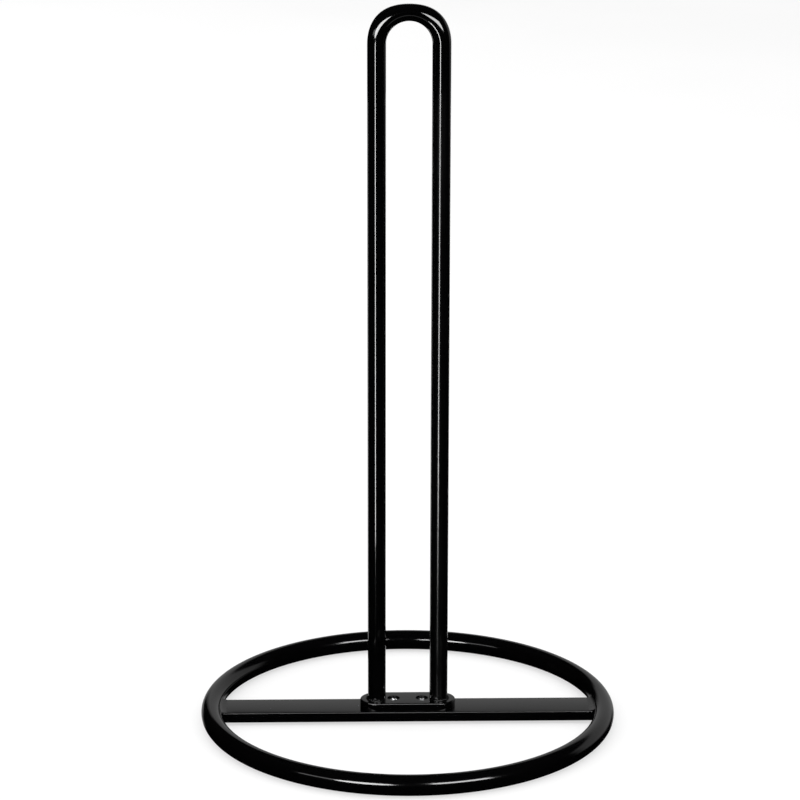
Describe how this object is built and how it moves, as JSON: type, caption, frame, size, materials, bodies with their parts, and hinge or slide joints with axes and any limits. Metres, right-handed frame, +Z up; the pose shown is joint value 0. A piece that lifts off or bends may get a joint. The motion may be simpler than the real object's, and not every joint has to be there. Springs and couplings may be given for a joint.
{
  "type": "paper towel holder",
  "caption": "Free-standing paper towel holder: tall hairpin rod loop on an obround foot plate, screwed to a flat bar across a round rod ring.",
  "frame": {"origin": "middle of the base ring, level with the table", "axes": "+Z up along the upright loop, +X along the crossbar, -Y towards the viewer"},
  "size_m": [0.1835, 0.1834, 0.32],
  "materials": {
    "ring_enamel": "gloss black enamel, slightly softened by handling",
    "bar_enamel": "gloss black enamel over a flat bar",
    "foot_enamel": "gloss black enamel over a flat plate",
    "loop_enamel": "high gloss black enamel",
    "weld_enamel": "gloss black enamel over rippled weld metal",
    "screw_steel": "blackened steel, bright where the driver has rubbed the recess"
  },
  "bodies": {
    "root": {"base_ring": "ring_enamel", "crossbar": "bar_enamel", "crossbar_weld_left": "weld_enamel", "crossbar_weld_right": "weld_enamel", "foot_plate": "foot_enamel", "upright_loop": "loop_enamel", "leg_weld_left": "weld_enamel", "leg_weld_right": "weld_enamel", "screw_left": "screw_steel", "screw_right": "screw_steel"}
  },
  "joints": []
}
